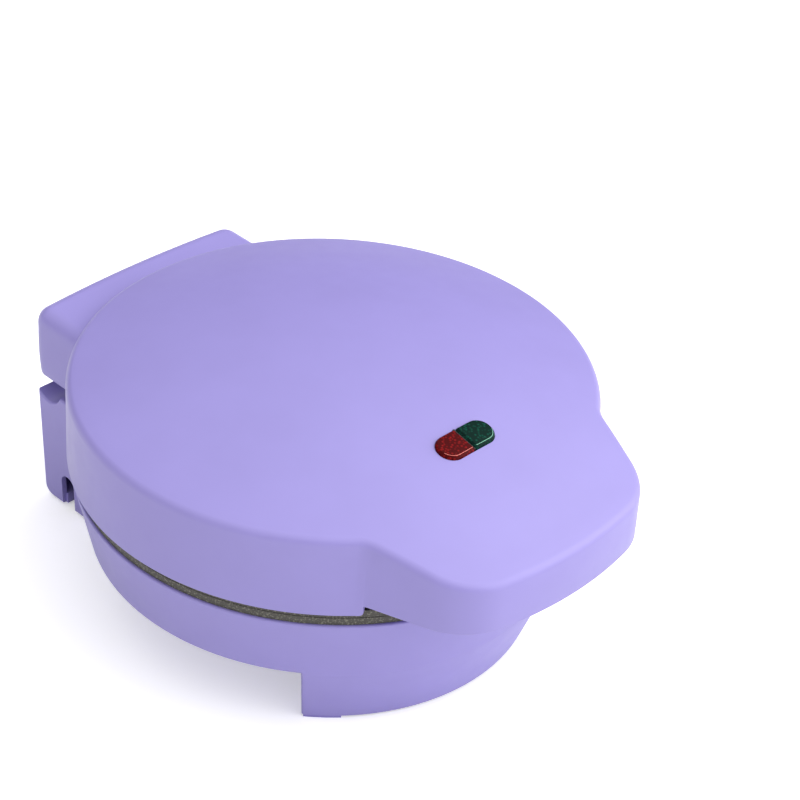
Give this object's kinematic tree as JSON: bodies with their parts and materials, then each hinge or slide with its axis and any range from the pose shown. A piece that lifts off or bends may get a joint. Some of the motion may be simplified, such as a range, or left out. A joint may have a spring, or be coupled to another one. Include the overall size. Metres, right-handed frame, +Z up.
{
  "type": "cake pop maker",
  "caption": "Round countertop cooker for ball-shaped cakes: hinged domed lid with a front handle, two facing cup plates, base on a front foot and a rear column.",
  "frame": {"origin": "centre of the outline on the surface that it stands on", "axes": "+Z up, -Y towards the handle at the front, +X to the right seen from the front"},
  "size_m": [0.222, 0.2696, 0.1237],
  "materials": {
    "lilac_plastic": "moulded, semi-gloss lilac",
    "nonstick_casting": "cast, dark speckled non-stick coating",
    "heater_sheath": "annealed tube sheath",
    "plated_steel": "zinc plated",
    "bright_sheet": "pressed bright sheet",
    "black_plastic": "moulded, fine matt",
    "white_plastic": "moulded nylon",
    "foot_rubber": "moulded, matt",
    "red_lens": "clear moulded, deep red",
    "green_lens": "clear moulded, deep green",
    "lamp_glass": "clear blown glass"
  },
  "bodies": {
    "base": {"base_housing": "lilac_plastic", "front_foot_pads": "foot_rubber", "rear_foot_pads": "foot_rubber", "cord_gland": "black_plastic", "terminal_block": "white_plastic", "lower_plate": "nonstick_casting", "lower_heater": "heater_sheath", "lower_heater_clips": "plated_steel", "lower_reflector": "bright_sheet", "lower_reflector_screw": "plated_steel", "lower_plate_screws": "plated_steel", "thermostat": "plated_steel", "thermal_fuse": "plated_steel", "left_hinge_pin": "plated_steel", "right_hinge_pin": "plated_steel"},
    "lid": {"lid_cover": "lilac_plastic", "inner_frame": "lilac_plastic", "frame_screws": "plated_steel", "upper_plate": "nonstick_casting", "upper_heater": "heater_sheath", "upper_heater_clips": "plated_steel", "upper_reflector": "bright_sheet", "upper_reflector_screw": "plated_steel", "upper_plate_screws": "plated_steel", "red_lens": "red_lens", "green_lens": "green_lens", "lamp_holder": "black_plastic", "red_lamp": "lamp_glass", "green_lamp": "lamp_glass"}
  },
  "joints": [
    {"name": "lid_hinge", "type": "hinge", "parent": "base", "child": "lid", "pos_m": [0, 0.12285, 0.071], "axis": [-1, 0, 0], "range_deg": [0, 100]}
  ]
}
